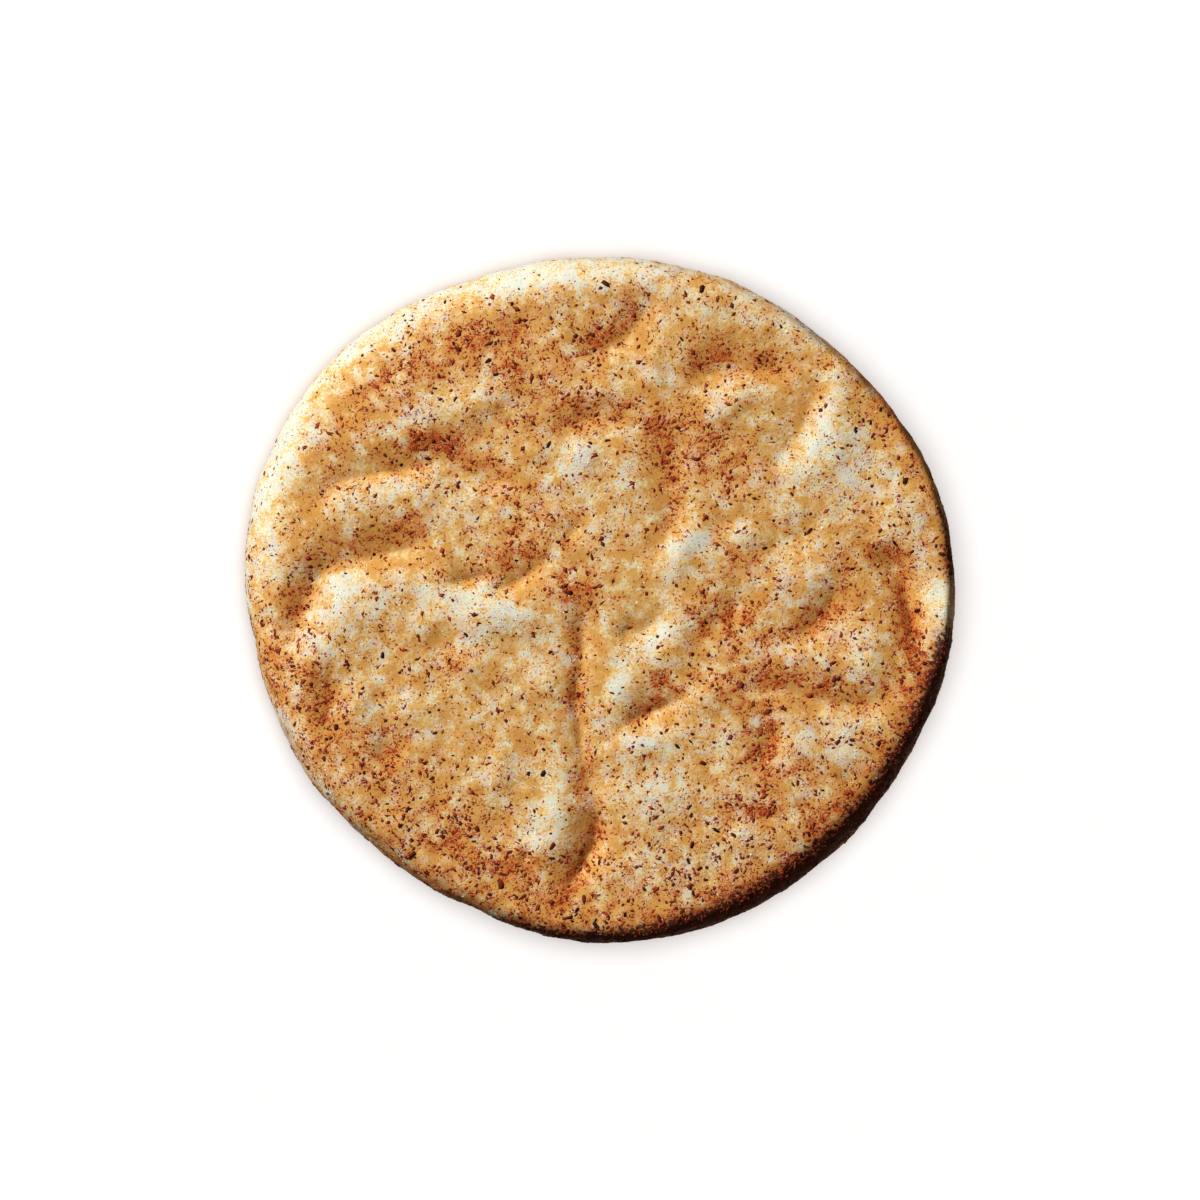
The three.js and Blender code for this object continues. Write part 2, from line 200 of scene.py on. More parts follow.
# Where the cinnamon lies thickly: centre, half sizes, turn in degrees, amount.
DUST = [
    ((-11.5, 28.5), (5.5, 3), 8, 0.65), ((-19, 16.4), (4, 1.7), 18, 1.1),
    ((-10.2, 24.6), (1.6, 2), 0, 0.75), ((-22.5, 23.6), (4.5, 3), 35, 0.55),
    ((-29.6, 17), (1.8, 4.5), -20, 0.3), ((-16.5, 26), (3, 2), 20, 0.4),
    ((1, 29.4), (5.5, 1.4), 42, 0.75), ((12.6, 26), (3, 1.7), 0, 1), ((18.2, 26.2), (2.6, 1.4), 0, 0.5),
    ((-3.2, 20.6), (1.7, 1.7), 0, 1), ((2.6, 20.6), (3, 1.4), -8, 0.55),
    ((7, 17.8), (2.6, 2.4), 0, 0.8), ((7.3, 12), (1.1, 3.6), 8, 0.6), ((12, 17.4), (2.6, 3), 0, 0.45),
    ((-12.6, 14.6), (4.5, 1.8), -25, 0.35), ((-32.8, 0), (1.4, 4), -25, 0.55),
    ((-27, 6), (4, 1.3), 12, 0.55), ((-20.6, 7.8), (2.8, 1.5), 25, 0.75),
    ((-9.4, 5), (4.6, 1.6), 22, 0.6), ((-2.8, 1), (2.2, 1.7), 0, 1.05),
    ((-2.8, -4.4), (1, 2.6), 0, 0.45), ((-2.7, -10.4), (1.1, 3), 0, 0.6),
    ((-1.5, -18), (0.9, 3.4), -20, 0.5), ((-0.9, -24.6), (1.2, 3), 14, 0.6),
    ((-3.4, -30.8), (1.3, 3), -30, 0.9), ((-30.4, -9.6), (1.8, 3.4), 8, 1),
    ((-24, -17), (3.4, 2.8), -20, 0.65), ((-30, -15.5), (2, 3), 0, 0.25),
    ((-16.2, -6.6), (1.8, 1.6), 0, 0.55), ((-20.5, -22), (4.5, 2.5), -20, 0.25),
    ((-15, -27.6), (6, 2.6), -25, 0.45), ((-8.4, -29), (2.6, 1.6), 0, 0.4),
    ((5.8, -11.4), (3.6, 0.8), 28, 0.7), ((12.8, -2), (3.2, 1.9), 10, 1),
    ((18, -3.8), (3, 1.4), 0, 0.35), ((23.4, -1.8), (3.4, 1.4), 36, 0.6), ((26.4, 3), (2, 2.2), 0, 0.4),
    ((30.8, 5), (2.8, 1.4), -40, 0.8), ((33, 0.6), (1.4, 3), 12, 0.8), ((34.2, -5.6), (1.4, 4), 4, 1.2),
    ((14, -8), (3, 2), 0, 0.5), ((20.4, -8.8), (5, 1.6), -4, 0.55), ((28.6, -10), (4.4, 1.4), 0, 0.55),
    ((17.6, -14.6), (1.8, 4.6), 4, 0.95), ((32.4, -15.6), (1.6, 5), -20, 0.4),
    ((25.6, -22.6), (4, 2), 35, 0.75), ((15.2, -22.4), (2.2, 1.8), 0, 0.5),
    ((17, -31.6), (5, 1.8), 25, 0.75), ((31.6, 22.4), (2.4, 5.5), 35, 0.6),
    ((14.4, 4.4), (3.6, 2), 20, 0.3), ((21.4, -18.4), (2, 1.6), 0, 0.3),
    ((6.6, -8.5), (0.8, 0.7), 0, 2.5), ((18.6, -22.4), (2.4, 1.4), 0, 0.45),
    ((22, -12), (15, 18), 0, 0.1), ((2, -31), (24, 5), 0, 0.2), ((10, -35), (9, 2.5), 10, 0.35),
    ((36.6, -8), (2, 2.5), 0, 0.5), ((-7, 20.6), (4, 3), 0, 0.4), ((-6.6, 8), (4, 3), 0, 0.45),
    ((14, 13.6), (4, 3), 0, 0.4), ((-35.6, -7), (2, 4), 15, 0.4), ((-14, -23), (4, 5), 0, 0.15),
    ((21, -28), (4, 3), 35, 0.3),
]
BASE_DUST = 0.3
RIM_DUST_AND_SHADE = 0.4              # extra dust on the rim, thickest on its shaded lower right: partly real dust, partly painted shade
RIM_DUST_AND_SHADE_SIDE = -70         # degrees from +X
RIM_DUST_EVEN = 0.45        # share of that extra dust that lies evenly all round
LEAST_DUST, MOST_DUST = 0.02, 1.2
FOOT_DUST = 0.4             # share of the dust that is left on the foot and the underside

# How far in from the outline the dark band of crusted cinnamon and painted shade reaches, on the shoulder
# turned away from the key light, from +X round by +Y, every 30 degrees.
CRUST_AND_SHADE_REACH = [2.1, -1.7, -0.9, -1.6, -2.5, -2.5, -2.0, -1.2, -0.3, 1.7, 2.7, 2.1]

CRUST_AND_SHADE_EDGE_WIDTH = 3.0      # over which the crust and painted shade fade out inwards
CRUST_AND_SHADE_LOW_SHARE = 0.2       # of the crust and painted shade that is left low on the wall
CRUST_AND_SHADE_FULL = (2.5, 7.0)     # heights between which it thickens to all of it
CRUST_AND_SHADE_FOOT = 2.0            # height under which it fades out altogether

# Where the cinnamon has come off.
BARE = [
    ((37.2, -0.4), (2.3, 3.3), 0, 1), ((5.4, -0.6), (3.4, 3.4), 0, 0.45),
    ((23, 17), (2.4, 5), -28, 0.5), ((-28, 1.4), (2.6, 2), 0, 0.7), ((1.9, -9), (1.7, 2.4), 0, 0.7),
    ((-13, -0.8), (7, 1.4), 0, 0.5), ((-6, -23), (2, 4.4), 0, 0.5), ((6.5, -3.5), (1.4, 2.8), -35, 0.4),
    ((9, 5), (1.5, 3), -32, 0.4), ((-29.8, 23.4), (13, 3), 52, 0.6), ((-36, 10), (6, 2.5), 75, 0.6),
    ((-8, 35.8), (12, 3), 12, 0.7), ((-14.5, -35), (5, 2), -20, 0.35),
]
BARE_HEIGHTS = (3.0, 6.0)   # between which the crust and painted shade come off there

# Where the dough is pale under its sugar: centre, half sizes, turn in degrees, amount.
CREAM = [
    ((-28.4, 1.2), (3, 2.4), 10, 0.55), ((-32, -3.4), (1.6, 3.4), -25, 0.45),
    ((-21, 1.2), (4.5, 1.8), 0, 0.3), ((-14.8, 0), (3, 1.5), 0, 0.5), ((-9, -1.6), (3, 1.6), -10, 0.6),
    ((-28, 11.2), (2.6, 1.6), 15, 0.35), ((-20, 12.2), (5.5, 1.5), 4, 0.4),
    ((-19.6, 20.6), (3, 1.5), 30, 0.6), ((-13.6, 22.8), (2.4, 1.3), 20, 0.25),
    ((-2, 16.2), (1.5, 2.5), -10, 0.45), ((-0.4, 12), (2.8, 2), 0, 0.35),
    ((22.8, 17), (2, 5.6), -27, 0.55), ((26.2, 24), (1.4, 2.6), 0, 0.1),
    ((27.4, 14), (3, 3.6), 0, 0.55), ((33, 9.4), (2.6, 4.4), 10, 0.25),
    ((9, 4.8), (1.7, 3.6), -30, 0.4), ((6.5, -3.6), (1.6, 3.2), -35, 0.5),
    ((1.9, -8.8), (1.7, 1.9), 0, 0.7), ((0.3, -13), (1.3, 3), 0, 0.25),
    ((21.6, 3.6), (2.2, 3.2), -15, 0.35), ((37, -1), (2.4, 4.4), 0, 0.6), ((28, -5), (2.8, 2), 0, 0.3),
    ((18, -5.4), (3.6, 1.1), 0, 0.25), ((-7.4, -25.2), (2.6, 1.6), 0, 0.6),
    ((-5.4, -21), (1.5, 3.6), -6, 0.45), ((4.6, -21.2), (4, 2), -5, 0.4),
    ((5, -15.2), (3.2, 2), 0, 0.3), ((13.4, -16.8), (2.4, 1.7), 0, 0.1), ((0.5, 7), (3, 3), 0, 0.25),
    ((6.4, -28), (3.6, 2.4), 10, 0.25), ((14.4, -26), (2.4, 1.6), 0, 0.2),
    ((26.6, -14.6), (3, 2.2), 0, 0.35), ((21, -15.8), (1.8, 1.5), 0, 0.25),
    ((-13, -5), (2.2, 1.7), 0, 0.25), ((-7.4, -8.4), (2.6, 3), 0, 0.2),
    ((-21, -11.4), (3, 1.7), 0, 0.2), ((-26.4, -9), (1.8, 1.6), 0, 0.15),
    ((-11, -19), (1.7, 2.2), 0, 0.25), ((12.6, 22.4), (2.6, 1.6), 0, 0.3),
    ((5.6, 33), (3, 2), 20, 0.25), ((0, 24.2), (2.4, 1.4), 0, 0.15), ((15, 7.6), (1.7, 1.1), 0, 0.1),
    ((21, 29.5), (4, 2.4), -35, 0.4), ((22, -12), (15, 18), 0, -0.1), ((0, 36), (12, 3), 0, 0.1),
    ((-34, 14), (6, 2.5), 72, 0.3), ((20.5, 1), (4, 8), 0, 0.15), ((-8, 35), (6, 2.5), 5, 0.25),
    ((-21, 28), (4, 3), 35, 0.2), ((-28, 14), (3, 3), 0, 0.2), ((-28, -0.5), (3, 3), 0, 0.15),
    ((-36, -8), (2.4, 5), 10, -0.2), ((-14.5, 10), (3, 3.5), 0, 0.3), ((-35, -14), (2.5, 4), 20, 0.3),
    ((-14, -34.5), (5, 2.5), -20, 0.35), ((14, -28), (9, 3), 15, 0.1),
]
BASE_CREAM = 0.38
RIM_PAINTED_LIGHT = 0.5             # painted light: paler on the rim's upper left, the side facing the key light
RIM_PAINTED_LIGHT_SIDE = 142        # degrees from +X, the key light's side
RIM_PAINTED_LIGHT_LEAST = -0.4      # share of it on the opposite side, where it is taken away as painted shade
CLOUDS = [(3.1, 0.35, 41), (1.5, 0.5, 42)]      # size, amount and seed of pale and deep spots
RAISED_PALE_AND_HOLLOW_SHADE = 0.3          # how much paler the dough is for each millimetre that it is raised by a swell, and deeper where a fold lowers it: partly the dough's own tone, partly painted shade in the hollows
RAISED_MOST = 0.7           # past this height it gets no paler
LUMP_PALE_AND_DIMPLE_SHADE = 0.9            # and for each millimetre of a lump, likewise partly painted shade in the dimples

# Where coarse flecks of cinnamon are frequent.
FLECKS = [
    ((-33.5, 2), (4.4, 7), 0, 0.9), ((-30, -13), (5, 9), 20, 0.6), ((-14, -29), (14, 5), -20, 1.9),
    ((12, -30), (14, 5), 20, 1.6), ((30, -12), (5, 9), -20, 0.5), ((-14, 29), (10, 4), 10, 0.4),
    ((31, 14), (4, 9), 20, 0.5), ((-19, 15.5), (4, 2), 10, 0.4),
]
BASE_FLECKS = 0.22

CREAM_LOST = 0.22           # how much less pale the dough is where the cinnamon is thick
LOW_WALL_CREAM_LOST = 0.7   # and low on the wall, where it bakes browner
LOW_WALL = (4.8, 1.2)       # heights between which it turns browner
BAKED_BELOW = 1.6           # height at which the brown of the underside begins

# ---------------------------------------------------------------- how the form is worked out


def smooth(t):
    t = np.clip(t, 0, 1)
    return t * t * (3 - 2 * t)


def rise(value, start, end):
    """0 up to start and 1 from end on, with a smooth rise between."""
    return smooth((value - start) / (end - start))


def at_least(least, share):
    """A share from 0 to 1 turned into one from least to 1."""
    return least + (1 - least) * share


def catmull(a, b, c, d, t):
    return 0.5 * (2 * b + (c - a) * t + (2 * a - 5 * b + 4 * c - d) * t**2 + (3 * b - a - 3 * c + d) * t**3)


def around(values, angle):
    """A smooth closed curve through values spaced evenly round the biscuit."""
    count = len(values)
    turns = np.mod(angle / (2 * np.pi), 1) * count
    first = np.floor(turns).astype(int) % count
    t = turns - np.floor(turns)
    values = np.array(values, float)
    return catmull(*(values[(first + step) % count] for step in (-1, 0, 1, 2)), t)


def outline(angle):
    """Radius of the outline in each direction."""
    edge = RADIUS
    for at, half, height in CORNERS:
        away = np.mod(np.degrees(angle) - at + 180, 360) - 180
        edge = edge + height * np.exp(-(np.abs(away / half) ** CORNER_FALL))
    return edge


def route(points, step=0.6):
    """A smooth line through the points, as short stretches."""
    p = np.array(points, float)
    p = np.vstack([2 * p[0] - p[1], p, 2 * p[-1] - p[-2]])
    line = []
    for i in range(1, len(p) - 2):
        count = max(2, round(np.hypot(*(p[i + 1] - p[i])) / step))
        t = np.arange(count)[:, None] / count
        line.append(catmull(p[i - 1], p[i], p[i + 1], p[i + 2], t))
    return np.vstack([*line, p[-2:-1]])


def fold_drop(x, y, points, depth, left, right):
    """How much a fold lowers the top at each place."""
    line = route(points)
    runs = np.diff(line, axis=0)
    lengths = np.hypot(*runs.T)
    whole = lengths.sum()
    before = np.cumsum(lengths) - lengths
    best = np.full(x.shape, np.inf)
    lean = np.zeros(x.shape)
    along = np.zeros(x.shape)
    for (ax, ay), (rx, ry), length, start in zip(line, runs, lengths, before):
        dx, dy = x - ax, y - ay
        t = np.clip((dx * rx + dy * ry) / length**2, 0, 1)
        distance = np.hypot(dx - t * rx, dy - t * ry)
        nearer = distance < best
        best = np.where(nearer, distance, best)
        lean = np.where(nearer, (rx * dy - ry * dx) / length / np.maximum(distance, 1e-6), lean)
        along = np.where(nearer, start + t * length, along)
    width = (left + right) / 2 + np.clip(lean, -1, 1) * (left - right) / 2
    from_end = np.minimum(along, whole - along) / min(TAPER, END_SHARE * whole)
    taper = END_DEPTH + (1 - END_DEPTH) * smooth(from_end)
    return depth * taper * np.exp(-((best / width) ** SHARPNESS))


def patch(x, y, centre, half, turn, height, fall=SWELL_FALL):
    """A soft oval hill of that height."""
    c, s = math.cos(math.radians(turn)), math.sin(math.radians(turn))
    dx, dy = x - centre[0], y - centre[1]
    u, v = (c * dx + s * dy) / half[0], (c * dy - s * dx) / half[1]
    return height * np.exp(-fall * (u * u + v * v))


LUMP_CELLS = 64             # the noise repeats after this many lumps
LUMP_OFFSET = 0.37          # keeps level faces off the planes where the noise is nearly flat
LUMP_GAIN = 1.6             # brings the noise to about -1 to 1


def lumps(x, y, z, size, seed):
    """Smooth noise from about -1 to 1, with lumps of that size in millimetres."""
    rng = np.random.default_rng(seed)
    pull = rng.normal(size=(LUMP_CELLS, LUMP_CELLS, LUMP_CELLS, 3))
    pull /= np.linalg.norm(pull, axis=-1, keepdims=True)
    place = np.stack([x, y, z], -1) / size + LUMP_OFFSET
    base = np.floor(place).astype(int)
    part = place - base
    ease = part**3 * (part * (part * 6 - 15) + 10)
    total = np.zeros(x.shape)
    for corner in np.ndindex(2, 2, 2):
        corner = np.array(corner)
        index = (base + corner) % LUMP_CELLS
        slope = (pull[index[..., 0], index[..., 1], index[..., 2]] * (part - corner)).sum(-1)
        total += slope * np.where(corner, ease, 1 - ease).prod(-1)
    return LUMP_GAIN * total


def layers(x, y, z, scales):
    """Several scales of that noise on top of each other, each a size, an amount and a seed."""
    return sum(amount * lumps(x, y, z, size, seed) for size, amount, seed in scales)


def relief(x, y):
    """Folds and swells of the top."""
    rise = sum(patch(x, y, *swell) for swell in SWELLS + FINE_SWELLS)
    return rise - sum(fold_drop(x, y, *fold) for fold in FOLDS + FINE_FOLDS)


def pits(x, y):
    """How much the pits lower the top."""
    drop = np.zeros(x.shape)
    for (cx, cy), radius, depth in PITS:
        away = np.hypot(x - cx, y - cy) / radius
        drop += depth * (1 - rise(away, PIT_LEVEL, PIT_END))
    return drop


# ---------------------------------------------------------------- the dough's mesh

TOP_STEP = 0.25             # spacing of the rings on the top, in millimetres
RIM_RINGS = 36
FOOT_RINGS = 10
UNDERSIDE_STEP = 0.8
MOST_ROUND = 840            # points in the widest ring
FOOT_ROUND = MOST_ROUND * 2 // 3    # points in the outermost ring of the underside


def section_rings():
    """The rings of an even, round biscuit from the top's middle over the rim to the underside's middle.

    Each is (radius, height, points in it). The rings of the top and of the underside gain 6 points a step,
    which keeps their triangles even. The widest ring's place in the list comes with them."""
    shoulder = RADIUS - RIM_REACH
    rings = []
    steps = round(shoulder / TOP_STEP)
    for i in range(steps + 1):
        rings.append((shoulder * i / steps, THICKNESS - DOMING * smooth(i / steps), max(1, 6 * i)))
    most = rings[-1][2]
    for i in range(1, RIM_RINGS + 1):
        turn = math.pi / 2 * (1 - i / RIM_RINGS)
        inward = RIM_REACH * (1 - max(0.0, math.cos(turn)) ** (2 / RIM_FULLNESS))
        height = GIRTH_HEIGHT + (THICKNESS - DOMING - GIRTH_HEIGHT) * math.sin(turn)
        rings.append((RADIUS - inward, height, round(most + (MOST_ROUND - most) * i / RIM_RINGS)))
    girth = len(rings) - 1
    foot = RADIUS - FOOT_SETBACK
    for i in range(1, FOOT_RINGS + 1):
        turn = math.pi / 2 * (1 - i / FOOT_RINGS)
        height = GIRTH_HEIGHT * (1 - math.cos(turn))
        rings.append((foot + FOOT_SETBACK * math.sin(turn), height, MOST_ROUND))
    steps = round(foot / UNDERSIDE_STEP)
    for i in range(steps - 1, -1, -1):
        count = FOOT_ROUND if i == steps - 1 else 6 * i
        rings.append((foot * i / steps, 0.0, max(1, count)))
    return rings, girth


def bridge(first_a, count_a, first_b, count_b):
    """Triangles between two rings, the first inside or above the second."""
    made = []
    i = j = 0
    while i < count_a or j < count_b:
        if i < count_a and count_a > 1 and (j == count_b or (i + 1) * count_b <= (j + 1) * count_a):
            made.append((first_a + i, first_b + j % count_b, first_a + (i + 1) % count_a))
            i += 1
        elif j < count_b and count_b > 1:
            made.append((first_a + i % count_a, first_b + j, first_b + (j + 1) % count_b))
            j += 1
        else:
            break
    return made


def place_rings(rings, girth):
    """Every point of the rings, moulded to the real outline and folded on top."""
    counts = np.array([ring[2] for ring in rings])
    number = np.repeat(np.arange(len(rings)), counts)
    even = np.repeat([ring[0] for ring in rings], counts)
    height = np.repeat([ring[1] for ring in rings], counts)
    angle = np.concatenate([2 * np.pi * np.arange(count) / count for count in counts])
    is_foot = number > girth

    edge = outline(angle)
    rim = around(RIM, angle)
    inward = RADIUS - even
    left = np.clip(1 - inward / RIM_REACH, 0, 1)
    on_rim = edge - rim * (1 - left ** (RIM_FULLNESS / around(FULLNESS, angle)))
    on_top = (edge - rim) * even / (RADIUS - RIM_REACH)
    radius = np.where(inward < RIM_REACH, on_rim, on_top)
    radius = np.where(is_foot, even * edge / RADIUS, radius)
    x, y = radius * np.cos(angle), radius * np.sin(angle)

    fade = rise(edge - radius, 0.0, RELIEF_FADE) * ~is_foot
    shape = relief(x, y) * fade
    bumpy = layers(x, y, height, LUMPS)
    z = height + shape + (bumpy - pits(x, y)) * fade

    wall = rise(height, 0.0, BULGE_START) * (1 - rise(edge - radius, 0.0, BULGE_REACH))
    radius = radius + np.where(is_foot | (inward < RIM_REACH), wall * layers(x, y, z, BULGES), 0)
    x, y = radius * np.cos(angle), radius * np.sin(angle)
    # Paler where swells and lumps raise the top, deeper where folds and dimples lower it: partly the dough's
    # own tone, partly painted shade in the hollows.
    raised = RAISED_PALE_AND_HOLLOW_SHADE * np.clip(shape, -RAISED_MOST, RAISED_MOST) + LUMP_PALE_AND_DIMPLE_SHADE * bumpy * fade
    return np.stack([x, y, z], -1), {"raised": raised, "foot": is_foot, "ring": number}


RIM_SHARES = (0.84, 0.99)   # shares of the outline's radius between which the rim begins


def rim_share(points):
    """How near the outline a place is, from 0 inside to 1 at the edge, and its angle."""
    angle = np.arctan2(points[:, 1], points[:, 0])
    share = np.hypot(points[:, 0], points[:, 1]) / outline(angle)
    return rise(share, *RIM_SHARES), angle


def covered(x, y):
    """How much of the cinnamon stays on, from 0 on bare places to 1."""
    return 1 - np.clip(sum(patch(x, y, *spot) for spot in BARE), 0, 1)


CLUMP_SIZE, CLUMP_SEED, CLUMP_SHARE = 1.2, 22, 0.65
STRAND_SIZE, STRAND_SEED, STRAND_SHARE = 2.2, 21, 0.75
STRAND_THINNESS = 4         # the more, the thinner the strands between clumps
CLUMP_BASE, CLUMP_LEAST = 0.45, 0.1


def dust_at(points, fields):
    """How thickly the cinnamon lies, from 0 to about 1; the extra on the rim's shaded lower right is partly
    painted shade.
    """
    x, y, z = points.T
    rim, angle = rim_share(points)
    amount = BASE_DUST + sum(patch(x, y, *spot) for spot in DUST)
    # Extra dust on the rim, thickest on the shaded lower right: partly real dust, partly painted shade.
    amount += RIM_DUST_AND_SHADE * rim * at_least(RIM_DUST_EVEN, np.cos(angle - math.radians(RIM_DUST_AND_SHADE_SIDE)))
    strands = 1 - np.abs(lumps(x, y, z, STRAND_SIZE, STRAND_SEED))
    clumps = CLUMP_BASE + CLUMP_SHARE * lumps(x, y, z, CLUMP_SIZE, CLUMP_SEED)
    clumps += STRAND_SHARE * strands**STRAND_THINNESS
    amount = amount * np.clip(clumps, CLUMP_LEAST, None)
    amount *= covered(x, y)
    return np.clip(amount, LEAST_DUST, MOST_DUST) * np.where(fields["foot"], FOOT_DUST, 1)


def crust_at(points):
    """How dark the shaded shoulder of the rim is painted, from 0 to 1: crusted cinnamon and painted shade.
    """
    x, y, z = points.T
    angle = np.arctan2(y, x)
    inside = outline(angle) - np.hypot(x, y)
    on_wall = at_least(CRUST_AND_SHADE_LOW_SHARE, rise(z, *CRUST_AND_SHADE_FULL))
    bared = (1 - covered(x, y)) * rise(z, *BARE_HEIGHTS)
    half = CRUST_AND_SHADE_EDGE_WIDTH / 2
    crusted = rise(around(CRUST_AND_SHADE_REACH, angle) - inside, -half, half) * (1 - bared)
    return crusted * on_wall * rise(z, 0.0, CRUST_AND_SHADE_FOOT)


def cream_at(points, fields, dust):
    """How pale the dough is, from about 0 to 1, with painted light on the rim's upper left and painted shade
    on its lower right and in the hollows.
    """
    x, y, z = points.T
    rim, angle = rim_share(points)
    amount = BASE_CREAM + sum(patch(x, y, *spot) for spot in CREAM)
    # Painted light on the rim's upper left, which faces the key light, and painted shade on its lower right.
    amount += RIM_PAINTED_LIGHT * rim * np.cos(angle - math.radians(RIM_PAINTED_LIGHT_SIDE)).clip(RIM_PAINTED_LIGHT_LEAST, 1)
    amount -= LOW_WALL_CREAM_LOST * rise(z, *LOW_WALL)
    return amount + layers(x, y, z, CLOUDS) + fields["raised"] - CREAM_LOST * np.clip(dust, 0, 1)


def make_mesh(name, vertices, faces):
    mesh = bpy.data.meshes.new(name)
    mesh.vertices.add(len(vertices))
    mesh.vertices.foreach_set("co", (np.asarray(vertices, np.float32) * MM).ravel())
    faces = np.asarray(faces, np.int32)
    mesh.loops.add(faces.size)
    mesh.loops.foreach_set("vertex_index", faces.ravel())
    mesh.polygons.add(len(faces))
    mesh.polygons.foreach_set("loop_start", np.arange(0, faces.size, 3, dtype=np.int32))
    mesh.update(calc_edges=True)
    mesh.validate()
    return mesh


def add_values(mesh, name, values):
    attribute = mesh.attributes.new(name, "FLOAT", "POINT")
    attribute.data.foreach_set("value", np.asarray(values, np.float32))


def link(name, mesh, material):
    piece = bpy.data.objects.new(name, mesh)
    bpy.context.scene.collection.objects.link(piece)
    mesh.materials.append(material)
    return piece


# Middle and radius of each disc on the map.
TOP_DISC = (0.37, 0.37, 0.365)
FOOT_DISC = (0.782, 0.782, 0.212)


def lay_out(mesh, rings, girth, fields, faces):
    """A map of two discs, the top with its rim and the underside with its foot, in opposite corners."""
    steps = [math.dist(a[:2], b[:2]) for a, b in zip(rings, rings[1:])]
    along = np.concatenate([[0], np.cumsum(steps)])
    counts = np.array([ring[2] for ring in rings])
    angle = np.concatenate([2 * np.pi * np.arange(count) / count for count in counts])
    ring = fields["ring"]
    top_share = along[ring] / along[girth]
    foot_share = (along[-1] - along[ring]) / (along[-1] - along[girth])
    corner = faces.ravel()
    on_foot = np.repeat((ring[faces] > girth).any(1), 3)
    u = np.where(on_foot, FOOT_DISC[0] - FOOT_DISC[2] * (foot_share * np.cos(angle))[corner],
                 TOP_DISC[0] + TOP_DISC[2] * (top_share * np.cos(angle))[corner])
    v = np.where(on_foot, FOOT_DISC[1] + FOOT_DISC[2] * (foot_share * np.sin(angle))[corner],
                 TOP_DISC[1] + TOP_DISC[2] * (top_share * np.sin(angle))[corner])
    layer = mesh.uv_layers.new(name="OFBake")
    layer.data.foreach_set("uv", np.stack([u, v], -1).astype(np.float32).ravel())


def make_dough(material):
    """The dough, and what the grains need to know of its surface at each of its points."""
    rings, girth = section_rings()
    starts = np.cumsum([0] + [ring[2] for ring in rings])
    faces = []
    for i in range(len(rings) - 1):
        faces += bridge(starts[i], rings[i][2], starts[i + 1], rings[i + 1][2])
    faces = np.array(faces)
    points, fields = place_rings(rings, girth)
    low, high = points.min(0), points.max(0)
    middle = (np.array(CAD_LOW) + np.array(CAD_HIGH)) / 2 / MM - (low + high) / 2
    shift = np.array([middle[0], middle[1], 0.0])
    mesh = make_mesh("dough", points + shift, faces)
    mesh.polygons.foreach_set("use_smooth", np.ones(len(faces), bool))
    dust = dust_at(points, fields)
    cream = cream_at(points, fields, dust)
    # Crusted cinnamon and painted shade on the rim's shaded shoulder.
    crust = crust_at(points)
    add_values(mesh, "cream", cream)
    add_values(mesh, "underneath", rise(points[:, 2], BAKED_BELOW, 0.0))
    add_values(mesh, "dust", dust)
    add_values(mesh, "crust", crust)
    lay_out(mesh, rings, girth, fields, faces)
    surface = {"points": points, "placed": points + shift, "faces": faces}
    surface.update(dust=dust, cream=cream, crust=crust)
    return link("dough", mesh, material), surface


# ---------------------------------------------------------------- grains


def scatter(points, faces, weights, count, seed):
    """That many places on the dough, more of them where its points weigh more, with the normals there."""
    rng = np.random.default_rng(seed)
    corners = points[faces]
    across = np.cross(corners[:, 1] - corners[:, 0], corners[:, 2] - corners[:, 0])
    area = np.linalg.norm(across, axis=1) / 2
    chance = area * weights[faces].mean(1)
    picked = np.searchsorted(np.cumsum(chance) / chance.sum(), rng.random(count))
    a, b = np.sqrt(rng.random(count)), rng.random(count)
    share = np.stack([1 - a, a * (1 - b), a * b], -1)[:, :, None]
    normal = across[picked] / np.maximum(2 * area[picked], 1e-9)[:, None]
    return (corners[picked] * share).sum(1), normal, rng


def frames_on(normal, rng):
    """A random turn about each normal, as matrices whose columns are along, across and out."""
    count = len(normal)
    any_way = rng.normal(size=(count, 3))
    along = any_way - normal * (any_way * normal).sum(1, keepdims=True)
    along /= np.linalg.norm(along, axis=1, keepdims=True)
    return np.stack([along, np.cross(normal, along), normal], -1)


def block_shape():
    """Corners and triangles of a cube of half size 1."""
    corners = np.array([(x, y, z) for z in (-1, 1) for y in (-1, 1) for x in (-1, 1)], float)
    quads = [(0, 2, 3, 1), (4, 5, 7, 6), (0, 1, 5, 4), (2, 6, 7, 3), (0, 4, 6, 2), (1, 3, 7, 5)]
    return corners, np.array([t for a, b, c, d in quads for t in ((a, b, c), (a, c, d))])


def spindle_shape(sides, levels):
    """A closed grain: rings of points at the levels between two poles on the long axis."""
    corners = [(-1, 0, 0)]
    for level in levels:
        for i in range(sides):
            turn = 2 * math.pi * i / sides
            wide = math.sqrt(1 - level * level)
            corners.append((level, wide * math.cos(turn), wide * math.sin(turn)))
    corners.append((1, 0, 0))
    faces = []
    last = len(corners) - 1
    for i in range(sides):
        j = (i + 1) % sides
        faces.append((0, 1 + j, 1 + i))
        for k in range(len(levels) - 1):
            a, b = 1 + k * sides, 1 + (k + 1) * sides
            faces += [(a + i, a + j, b + j), (a + i, b + j, b + i)]
        faces.append((last, last - sides + i, last - sides + j))
    return np.array(corners, float), np.array(faces)


CELL_SHARE = 0.32           # half of a grain's length in its own cell of the map


